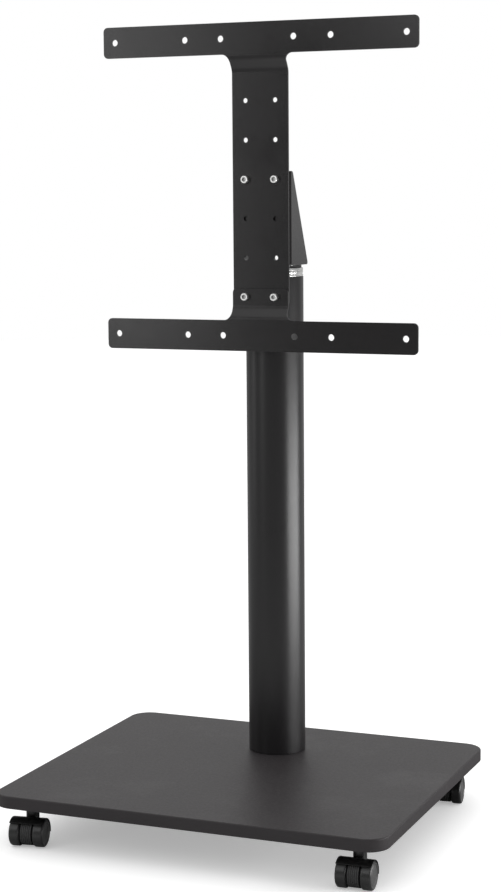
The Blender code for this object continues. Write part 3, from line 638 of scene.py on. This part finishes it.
wheel_plastic, tree, shader, place = start_finish("wheel_nylon")
distance = turned_parts(tree)["X"]
marks = use_group(tree, lathe_rings, Along=distance, Fine_Count=5000.0, Coarse_Count=700.0)
film = use_group(tree, paint_film, Place=place, Peel_Scale=900.0, Cloud_Scale=70.0)
side = ramp(tree, distance, SIDE_ENDS, TREAD_STARTS, 1.0, 0.0)
tread_shade = blend_colours(tree, film["Cloud"], grey(0.010), grey(0.020))
side_shade = blend_colours(tree, marks["Bands"], grey(0.050), grey(0.085))
tree.links.new(blend_colours(tree, side, tread_shade, side_shade), shader.inputs["Base Color"])
tread_rough = ramp(tree, film["Peel"], 0.3, 0.7, 0.26, 0.36)
roughness = calculate(tree, "ADD", tread_rough, calculate(tree, "MULTIPLY", side, 0.12))
tree.links.new(roughness, shader.inputs["Roughness"])
height = calculate(tree, "ADD", film["Peel"], calculate(tree, "MULTIPLY", marks["Rings"], side))
bump(tree, shader, height, 0.00003)
print("finishes:", len(bpy.data.materials))


# %% [markdown]
# ## Handing a piece to the frame
# Each new piece rides on the moving body of the solid that it stands for, hides that solid
# and gets a finish of its own, so that the stand still swivels and rolls.

# %% Helpers for a node
GAP = 0.0003
PAST = 0.01


def middle_of(node):
    """The middle of a node's box."""
    low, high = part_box(node)
    return (low + high) / 2


def upright_hole(radius, axis, bottom, top):
    """A cutter for an upright round hole."""
    return add_rod("hole", radius, (axis.x, axis.y, bottom), (axis.x, axis.y, top))


def level_hole(radius, x, z, front, back, corners=40):
    """A cutter for a round hole that runs from front to back."""
    return add_rod("hole", radius, (x, front, z), (x, back, z), corners)


def hand_over(piece, node, *finishes):
    """Gives a piece its finish, or one for each material number, and lets it stand for a node."""
    numbers = [face.material_index for face in piece.data.polygons]
    piece.data.materials.clear()
    for finish in finishes:
        piece.data.materials.append(finish)
    if len(finishes) > 1:
        piece.data.polygons.foreach_set("material_index", numbers)
    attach(piece, frame["nodes"][node]["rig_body"])
    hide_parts(node)
    print(f"{piece.name}: {len(piece.data.polygons)} faces")


# %% [markdown]
# ## The board
# The board is 16 mm fibreboard with wide round corners, a softened top edge and a small
# chamfer below. A box gets its four upright edges rounded first, and then the edge loops
# round its top and bottom, which now follow the corners. The holes for the casters' inserts
# and the column's screws are cut from below.

# %% Shape the board
CORNER_RADIUS = 0.028
TOP_ROUND = 0.002
BOTTOM_CHAMFER = 0.001

low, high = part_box("base_board")
board = add_block("board", low, high)
edit(board)
bevel_edges(is_upright, CORNER_RADIUS, 20)
bevel_edges(lambda edge: lies_at(edge, Z, high.z), TOP_ROUND, 5)
bevel_edges(lambda edge: lies_at(edge, Z, low.z), BOTTOM_CHAMFER, 2)
done()

# %% Drill the board
FOOT_SCREW_HOLE = 0.0045

cutters = []
for node in frame["nodes"]:
    if node.startswith("caster_insert"):
        first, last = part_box(node)
        radius = (last.x - first.x) / 2 + GAP
        cutters.append(upright_hole(radius, middle_of(node), low.z - PAST, last.z + GAP))
    if node.startswith("foot_screw"):
        cutters.append(upright_hole(FOOT_SCREW_HOLE, middle_of(node), low.z - PAST, high.z + PAST))
cut(board, cutters)
shade_smooth(board)
hand_over(board, "base_board", board_paint)

# %% [markdown]
# ## The column
# The column is a steel tube, so its wall has an inner and an outer side. The profile of the
# wall is drawn as a thin upright rectangle and spun once round the column's axis. Two plates
# close its ends. They can't be seen, so the frame's own solids stay for them.

# %% Spin the column
COLUMN_WALL = 0.002

low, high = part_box("column_tube")
column_axis = (low + high) / 2
outer = (high.x - low.x) / 2
inner = outer - COLUMN_WALL
column = turn_profile(
    "column", [(inner, low.z), (outer, low.z), (outer, high.z), (inner, high.z)], 128, closed=True)
round_edges(column, 0.0003)
move_piece(column, (column_axis.x, column_axis.y, 0.0))
hand_over(column, "column_tube", column_paint)

# %% [markdown]
# ## The screws under the board
# Four hexagon screws with washers hold the column's foot through the board. They only show
# from below. A screw head starts as a six sided rod, and the corners of its lower face are
# turned away by cutting it with a shallow cone, as on a real one.

# %% Helper for a hexagon
def hexagon_head(name, across_flats, bottom, top):
    """A hexagon with the corners of its lower end turned off."""
    radius = across_flats / math.sqrt(3)
    head = add_rod(name, radius, (0, 0, bottom), (0, 0, top), corners=6)
    reach = radius * 1.2
    edge = across_flats / 2 * 0.96
    depth = (reach - edge) * math.tan(math.radians(30))
    cone = turn_profile("cone", [
        (0, bottom), (edge, bottom), (reach, bottom + depth), (reach, top + reach), (0, top + reach)], 72)
    cut(head, [cone], "INTERSECT")
    return head


# %% Make the foot screws and washers
FOOT_SCREW_FLATS = 0.013
FOOT_SCREW_RADIUS = 0.004
FOOT_SCREW_TIP = 0.0034
WASHER_BORE = 0.0043

screw_low, screw_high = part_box("foot_screw_1")
washer_low, washer_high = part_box("foot_washer_1")
head_top = washer_low.z - GAP
foot_screw = hexagon_head("foot_screw", FOOT_SCREW_FLATS, screw_low.z, head_top)
shank = turn_profile("shank", [
    (0, head_top - 0.001), (FOOT_SCREW_RADIUS, head_top - 0.001),
    (FOOT_SCREW_RADIUS, screw_high.z - 0.0008), (FOOT_SCREW_TIP, screw_high.z), (0, screw_high.z)], 48)
round_edges(foot_screw, 0.00015)
shade_smooth(shank)
foot_screw = join_pieces([foot_screw, shank])
radius = (washer_high.x - washer_low.x) / 2
foot_washer = turn_profile("foot_washer", [
    (WASHER_BORE, washer_low.z), (radius, washer_low.z),
    (radius, washer_high.z), (WASHER_BORE, washer_high.z)], 64, closed=True)
round_edges(foot_washer, 0.0002)
remember_turning(foot_washer)
for number in (1, 2, 3, 4):
    axis = middle_of(f"foot_washer_{number}")
    spot = (axis.x, axis.y, 0.0)
    hand_over(copy_piece(foot_screw, f"foot_hex_screw_{number}", spot), f"foot_screw_{number}", zinc)
    hand_over(copy_piece(foot_washer, f"foot_flat_washer_{number}", spot), f"foot_washer_{number}", zinc)
remove_pieces(foot_screw, foot_washer)

# %% [markdown]
# ## The swivel
# A bare aluminium collar and a matching ring are fixed on the column, and the head turns on a
# thin plastic washer on top of them, which shows as a dark slit. Each is drawn as half a
# section and spun. The collar has a shallow groove at its middle that catches a dark line.

# %% Spin the collar, the ring and the washer
def ring_section(bore, radius, bottom, top, groove=None):
    """Half a section of a ring, with an optional groove of a depth and a width."""
    points = [(bore, bottom), (radius, bottom)]
    if groove:
        depth, width = groove
        waist = (bottom + top) / 2
        points += [(radius, waist - width / 2 - depth / 2), (radius - depth, waist - width / 2),
                   (radius - depth, waist + width / 2), (radius, waist + width / 2 + depth / 2)]
    return points + [(radius, top), (bore, top)]


PIVOT_BORE = 0.0063
COLLAR_GROOVE = (0.0008, 0.0012)
for node, finish, groove in (("swivel_collar", silver, COLLAR_GROOVE),
                             ("swivel_washer", slide_plastic, None),
                             ("swivel_ring", silver, None)):
    low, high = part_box(node)
    radius = (high.x - low.x) / 2
    section = ring_section(PIVOT_BORE, radius, low.z, high.z, groove)
    ring = turn_profile("turned_" + node, section, 144, closed=True)
    round_edges(ring, 0.0004 if finish is silver else 0.0001, 3)
    remember_turning(ring)
    move_piece(ring, (column_axis.x, column_axis.y, 0.0))
    hand_over(ring, node, finish)

# %% [markdown]
# ## Socket screws and nuts
# A low headed bolt is the pivot, and four socket screws with nuts hold the plates. The
# outline of a screw is spun, the six sided socket is cut into its head, and every second
# corner of the head's side is drawn in, which gives the fine grip that such heads have.

# %% Helper for a socket screw
NOTCH_SHARE = 0.972


def socket_screw(name, shank, head, head_height, length, socket, depth, grip=0):
    """A socket screw along Z, its head standing on 0, with a ring of grip notches if asked."""
    rim = shank / 12
    tip = shank / 10
    screw = turn_profile(name, [
        (0, -length), (shank / 2 - tip, -length), (shank / 2, tip - length), (shank / 2, 0), (head / 2, 0),
        (head / 2, head_height - rim * 1.5), (head / 2 - rim, head_height), (0, head_height)], grip or 72)
    if grip:
        edit(screw)
        step = 2 * math.pi / grip

        def notch(vert):
            side = math.hypot(vert.co.x, vert.co.y) > head / 2 - NEAR
            return side and round(math.atan2(vert.co.y, vert.co.x) / step) % 2 == 0

        pick("VERT", notch)
        middle = (0, 0, head_height / 2)
        bpy.ops.transform.resize(value=(NOTCH_SHARE, NOTCH_SHARE, 1.0), center_override=middle)
        done()
    bottom, top = (0, 0, head_height - depth), (0, 0, head_height + depth)
    cut(screw, [add_rod("key_hole", socket / math.sqrt(3), bottom, top, 6)])
    return screw


# %% Make the pivot bolt
SHEET = 0.003

low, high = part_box("pivot_bolt")
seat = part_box("wedge_bracket")[0].z + SHEET + GAP
pivot = socket_screw("pivot_screw", shank=0.012, head=high.x - low.x, head_height=high.z - seat,
                     length=seat - low.z, socket=0.008, depth=0.0018)
round_edges(pivot, 0.0002, 2, 40)
remember_turning(pivot)
move_piece(pivot, (column_axis.x, column_axis.y, seat))
hand_over(pivot, "pivot_bolt", zinc)

# %% Model one plate screw and one nut
SCREW_HEAD_HEIGHT = 0.006
NUT_FLATS = 0.010
NUT_BORE = 0.0033
SMALL_EDGE = 0.00012

low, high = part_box("upper_screw_left")
plate_screw = socket_screw("plate_screw", shank=0.006, head=0.010, head_height=SCREW_HEAD_HEIGHT,
                           length=high.y - low.y - SCREW_HEAD_HEIGHT, socket=0.005, depth=0.003, grip=72)
round_edges(plate_screw, SMALL_EDGE, 2, 50)
remember_turning(plate_screw)
low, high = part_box("upper_nut_left")
plate_nut = hexagon_head("plate_nut", NUT_FLATS, 0, high.y - low.y)
cut(plate_nut, [add_rod("bore", NUT_BORE, (0, 0, -PAST), (0, 0, 2 * PAST))])
round_edges(plate_nut, SMALL_EDGE, 2, 50)

# %% Copy the screws and nuts to their rows
lying = (math.pi / 2, 0, 0)
for row in ("upper", "lower"):
    for side in ("left", "right"):
        for kind, master, name, finish in (("screw", plate_screw, "socket_screw", bright_zinc),
                                           ("nut", plate_nut, "hexagon_nut", zinc)):
            node = f"{row}_{kind}_{side}"
            low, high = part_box(node)
            front = low.y + SCREW_HEAD_HEIGHT if kind == "screw" else high.y
            axis = middle_of(node)
            piece = copy_piece(master, f"{name}_{row}_{side}", (axis.x, front, axis.z), lying)
            hand_over(piece, node, finish)
remove_pieces(plate_screw, plate_nut)

# %% [markdown]
# ## The wedge bracket
# The bracket is folded from 3 mm sheet: a front plate, two cheeks that taper to the top and
# a bottom that turns on the slide washer. A box is slanted by moving its upper back edge. Its
# front and lower edges are rounded like folds, the cheeks' back corners like cut sheet, and a
# smaller box is cut out of it through the back and the top.

# %% Fold the bracket
INNER_BEND = 0.001
REAR_CORNER = 0.005
UPPER_CORNER = 0.003
TOP_DEPTH = 0.009
LOWER_BEND = 0.0018
CHEEKS_APART = 0.05


def front_upright(front):
    """A test for the upright edges along the front."""
    return lambda edge: lies_at(edge, Y, front) and is_upright(edge)


def lower_bend(edge):
    """A test for the edges round the bottom, without the one across the back."""
    first, last = (vert.co for vert in edge.verts)
    across_back = abs(first.x - last.x) > CHEEKS_APART and first.y > low.y + NEAR
    return lies_at(edge, Z, low.z) and not across_back


low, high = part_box("wedge_bracket")
bracket = add_block("folded_bracket", low, high)
edit(bracket)
pick("VERT", lambda vert: vert.co.y > high.y - NEAR and vert.co.z > high.z - NEAR)
bpy.ops.transform.translate(value=(0, low.y + TOP_DEPTH - high.y, 0))
bevel_edges(lambda edge: lies_at(edge, Y, high.y) and lies_at(edge, Z, low.z), REAR_CORNER, 10)
bevel_edges(lambda edge: lies_at(edge, Y, low.y + TOP_DEPTH) and lies_at(edge, Z, high.z), UPPER_CORNER, 6)
bevel_edges(front_upright(low.y), INNER_BEND + SHEET, 10)
bevel_edges(lower_bend, LOWER_BEND, 5)
done()

# %% Hollow and drill the bracket
inside_low = low + Vector((SHEET, SHEET, SHEET))
inside = add_block("inside", inside_low, (high.x - SHEET, high.y + 5 * PAST, high.z + 5 * PAST))
edit(inside)
bevel_edges(front_upright(inside_low.y), INNER_BEND, 8)
done()

UPPER_ROW, LOWER_ROW = (middle_of(f"{row}_screw_left").z for row in ("upper", "lower"))
ROW_PITCH = (UPPER_ROW - LOWER_ROW) / 3
HOLE_X = middle_of("upper_screw_right").x
HOLE_RADIUS = 0.00325
cutters = [inside, upright_hole(PIVOT_BORE, column_axis, low.z - PAST, low.z + 2 * SHEET)]
for height in (UPPER_ROW, UPPER_ROW - 2 * ROW_PITCH):
    for x in (-HOLE_X, HOLE_X):
        cutters.append(level_hole(HOLE_RADIUS, x, height, low.y - 0.002, low.y + 2 * SHEET))
cut(bracket, cutters)
round_edges(bracket, 0.00035)
hand_over(bracket, "wedge_bracket", black_paint)

# %% [markdown]
# ## The two T plates
# Each plate is one flat T with a soft S bend between its bar and its strip, so that both
# bars lie in one plane although the strip sits further back. The bar is a box, the strip is
# extruded from the middle of its edge, the corners are rounded, and the bend is made by
# slicing the strip and pushing each slice a little further than the last.

# %% Helper for a T plate
BAR_HEIGHT = 0.040
BAR_CORNER = 0.006
STRIP_HALF = 0.0385
STRIP_CORNER = 0.005
INNER_CORNER = 0.010
BEND_STEPS = 12
SCREEN_HOLES = (0.05, 0.1, 0.2)
SCREEN_HOLE_RADIUS = 0.00425


def plate_corner(x, z):
    """A test for the short edges through the sheet at both corners of one kind."""
    def test(edge):
        first, last = (vert.co for vert in edge.verts)
        across = abs(first.y - last.y) > SHEET / 2
        return across and abs(abs(first.x) - x) < NEAR and abs(first.z - z) < NEAR
    return test


def bend_strip(near, toward, bend_length, depth):
    """Slices the strip and pushes each slice further back, to an S bend."""
    pushed = 0.0
    for step in range(BEND_STEPS + 1):
        share = step / BEND_STEPS
        height = near + toward * bend_length * share
        slice_at((0, 0, height), (0, 0, 1))
        push = depth * (1 - math.cos(math.pi * share)) / 2
        pick("VERT", lambda vert: (vert.co.z - height) * toward > -1e-6)
        bpy.ops.transform.translate(value=(0, push - pushed, 0))
        pushed = push


def make_plate(name, node, toward, bend_length, rows):
    """A T plate whose strip runs up or down from its bar."""
    low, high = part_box(node)
    bar_low, bar_high = (low.z, low.z + BAR_HEIGHT) if toward > 0 else (high.z - BAR_HEIGHT, high.z)
    near, strip_end = (bar_high, high.z) if toward > 0 else (bar_low, low.z)
    plate = add_block(name, (low.x, low.y, bar_low), (high.x, low.y + SHEET, bar_high))
    edit(plate)
    for x in (-STRIP_HALF, STRIP_HALF):
        slice_at((x, 0, 0), (1, 0, 0))
    pick("FACE", lambda face: face.normal.z * toward > 0.9 and abs(face.calc_center_median().x) < 0.001)
    bpy.ops.mesh.extrude_region_move(TRANSFORM_OT_translate={"value": (0, 0, strip_end - near)})
    for x, z, radius, segments in ((high.x, bar_low, BAR_CORNER, 10), (high.x, bar_high, BAR_CORNER, 10),
                                   (STRIP_HALF, near, INNER_CORNER, 12),
                                   (STRIP_HALF, strip_end, STRIP_CORNER, 8)):
        bevel_edges(plate_corner(x, z), radius, segments)
    bend_strip(near, toward, bend_length, high.y - low.y - SHEET)
    done()

    cutters = []
    for x in SCREEN_HOLES:
        for place in (-x, x):
            cutters.append(level_hole(
                SCREEN_HOLE_RADIUS, place, (bar_low + bar_high) / 2, low.y - PAST, low.y + PAST, 48))
    for height in rows:
        for x in (-HOLE_X, HOLE_X):
            cutters.append(level_hole(HOLE_RADIUS, x, height, low.y - PAST, high.y + PAST))
    cut(plate, cutters)
    round_edges(plate, 0.0003)
    hand_over(plate, node, black_paint)


# %% Make both plates
all_rows = [UPPER_ROW + (2 - row) * ROW_PITCH for row in range(6)]
make_plate("upper_screen_plate", "upper_t_plate", -1, 0.024, all_rows)
make_plate("lower_screen_plate", "lower_t_plate", 1, 0.020, all_rows[5:])

# %% [markdown]
# ## The casters
# A caster has two wheels on one axle, a ribbed body between them and a hood over their top.
# All four are alike and only stand turned by a few degrees, so one of each piece is modelled
# with its neck on the Z axis and its axle along X, and then copied to each corner, with the
# turn that the joints of the frame give.

# %% Measure the casters
neck_place = {}
turn_of = {}
for joint in frame["joints"]:
    name, axis = joint["name"], joint["axis"]
    if name.startswith("swivel_"):
        neck_place[name.removeprefix("swivel_")] = Vector(joint["pos_m"])
    if name.startswith("spin_") and name.endswith(("_left_left", "_right_right")):
        turn_of[name.removeprefix("spin_").rsplit("_", 1)[0]] = math.atan2(axis[1], axis[0])
BOARD_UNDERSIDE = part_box("base_board")[0].z
AXLE_BACK = 0.015
WHEEL_RADIUS = 0.0175
WHEEL_WIDTH = 0.0137
WHEEL_START = 0.0087
HOOD_OUTER = 0.0190
HOOD_INNER = 0.0180
NECK_RADIUS = 0.0083
print("casters:", {corner: round(math.degrees(turn), 1) for corner, turn in turn_of.items()})

# %% [markdown]
# The wheel is spun about Z and then laid on its side. Its tread has rounded shoulders. Its
# outer side has a raised rim, a groove, and a shallow dome for a cap.

# %% Spin a wheel
def arc(centre, radius, start, end, steps):
    """Points along an arc of a profile, by angles in degrees."""
    points = []
    for step in range(steps + 1):
        angle = math.radians(start + (end - start) * step / steps)
        points.append((centre[0] + radius * math.cos(angle), centre[1] + radius * math.sin(angle)))
    return points


SHOULDER = 0.0028
AXLE_HOLE = 0.0033
AXLE_HOLE_DEPTH = 0.0108
wheel_outline = [(0, AXLE_HOLE_DEPTH), (AXLE_HOLE, AXLE_HOLE_DEPTH), (AXLE_HOLE, 0.0)]
wheel_outline += arc((WHEEL_RADIUS - SHOULDER, SHOULDER), SHOULDER, -90, 0, 6)
wheel_outline += arc((WHEEL_RADIUS - SHOULDER, WHEEL_WIDTH - SHOULDER), SHOULDER, 0, 90, 6)
side_relief = [(0.0140, 0), (0.0136, 0.0005), (0.0131, 0.0011), (0.0124, 0.0013), (0.0118, 0.0010),
               (0.0114, 0.0006), (0.0095, 0.00035), (0.0070, 0.00015), (0.0040, 0.00005), (0.0, 0)]
wheel_outline += [(radius, WHEEL_WIDTH - depth) for radius, depth in side_relief]
wheel = turn_profile("wheel", wheel_outline, 112)
shade_smooth(wheel)
remember_turning(wheel)

# %% [markdown]
# The hood is a curved cover whose section is drawn across the caster and spun part of the
# way round the axle. The body between the wheels is a disc with fine ribs that run round
# it, and the neck is a round boss under the stem.

# %% Spin the hood
def spin_about_axle(name, section, start, sweep, steps):
    """Spins an (x, radius) section about the axle, from an angle above the front."""
    axle = Vector((0, -AXLE_BACK, WHEEL_RADIUS))
    lean = math.radians(start)
    points = [axle + Vector((x, -radius * math.cos(lean), radius * math.sin(lean))) for x, radius in section]
    piece = draw_outline(name, points + points[:1])
    bpy.ops.mesh.spin(steps=steps, angle=math.radians(sweep), center=axle, axis=(1, 0, 0))
    merge_doubles()
    bpy.ops.mesh.fill_holes(sides=0)
    close_shell()
    return piece


half_width = WHEEL_START + WHEEL_WIDTH
rounding = [(half_width, HOOD_OUTER - 0.0006), (half_width - 0.0004, HOOD_OUTER - 0.0002),
            (half_width - 0.0012, HOOD_OUTER)]
cover_section = [(-half_width, HOOD_INNER), (half_width, HOOD_INNER)] + rounding
cover_section += [(-x, radius) for x, radius in reversed(rounding)]
cover = spin_about_axle("hood_cover", cover_section, 50, 140, 40)
round_edges(cover, 0.0002)

# %% Spin the ribbed body and the web above it
BODY_HALF = 0.0075
BODY_RADIUS = 0.0160
BODY_CORE = 0.004
WEB_RADIUS = HOOD_INNER + 0.0005
RIBS = 6
RIB_DEPTH = 0.0007

width = 2 * BODY_HALF / RIBS
rib_section = [(-BODY_HALF, BODY_CORE)]
for rib in range(RIBS):
    left = -BODY_HALF + width * rib
    for share, depth in ((0.12, RIB_DEPTH), (0.3, 0), (0.7, 0), (0.88, RIB_DEPTH)):
        rib_section.append((left + width * share, BODY_RADIUS - depth))
rib_section.append((BODY_HALF, BODY_CORE))
ribbed_body = spin_about_axle("ribbed_body", rib_section, 186, 228, 64)
shade_smooth(ribbed_body)
web = spin_about_axle("hood_web", [
    (-BODY_HALF, BODY_CORE), (-BODY_HALF, WEB_RADIUS), (BODY_HALF, WEB_RADIUS), (BODY_HALF, BODY_CORE)],
    54, 132, 36)
shade_smooth(web)

# %% Spin the neck and join the hood
NECK_TOP = BOARD_UNDERSIDE - 0.0031
neck = turn_profile("neck", [
    (0, WHEEL_RADIUS + 0.003), (NECK_RADIUS, WHEEL_RADIUS + 0.003), (NECK_RADIUS, NECK_TOP - 0.0004),
    (NECK_RADIUS - 0.0004, NECK_TOP), (0, NECK_TOP)], 72)
shade_smooth(neck)
for shell in (cover, ribbed_body, web, neck):
    shell.data.materials.append(rib_plastic if shell is ribbed_body else hood_plastic)
hood = join_pieces([cover, ribbed_body, web, neck])

# %% Spin the stem and the axle
stem_outline = [(0, -0.0228), (0.0035, -0.0228), (0.0035, -0.0028), (0.0081, -0.0028), (0.0083, -0.0026),
                (0.0083, -0.0005), (0.0081, -0.0003), (0.0040, -0.0003), (0.0040, 0.012), (0, 0.012)]
stem = turn_profile("stem", [(radius, BOARD_UNDERSIDE + height) for radius, height in stem_outline], 72)
shade_smooth(stem)
end = WHEEL_START + AXLE_HOLE_DEPTH - GAP
axle = add_rod("axle", AXLE_HOLE - GAP, (-end, -AXLE_BACK, WHEEL_RADIUS), (end, -AXLE_BACK, WHEEL_RADIUS), 48)
round_edges(axle, 0.0003)

# %% Copy the casters to their corners
side_wheels = {}
for side, sign in (("left", -1), ("right", 1)):
    place = (sign * WHEEL_START, -AXLE_BACK, WHEEL_RADIUS)
    side_wheels[side] = copy_piece(wheel, "wheel_" + side, place, (0, sign * math.pi / 2, 0))
for corner, place in neck_place.items():
    spot = ((place.x, place.y, 0.0), (0, 0, turn_of[corner]))
    hand_over(copy_piece(hood, "caster_cover_" + corner, *spot), "caster_hood_" + corner,
              hood_plastic, rib_plastic)
    hand_over(copy_piece(stem, "caster_spindle_" + corner, *spot), "caster_stem_" + corner, stem_steel)
    hand_over(copy_piece(axle, "caster_pin_" + corner, *spot), "caster_axle_" + corner, zinc)
    for side, master in side_wheels.items():
        piece = copy_piece(master, f"twin_wheel_{corner}_{side}", *spot)
        hand_over(piece, f"caster_wheel_{corner}_{side}", wheel_plastic)
remove_pieces(wheel, hood, stem, axle, *side_wheels.values())

# %% [markdown]
# ## The hidden solids
# The end plates, the weld nut and the inserts are sealed inside other pieces. Their solids
# stay as they are and get the zinc finish, in case someone takes the stand apart.

# %% Finish the solids that stay
for name, node in frame["nodes"].items():
    if name in ("column_foot_plate", "column_top_plate", "pivot_nut") or name.startswith("caster_insert"):
        for slot in node.material_slots:
            slot.material = zinc
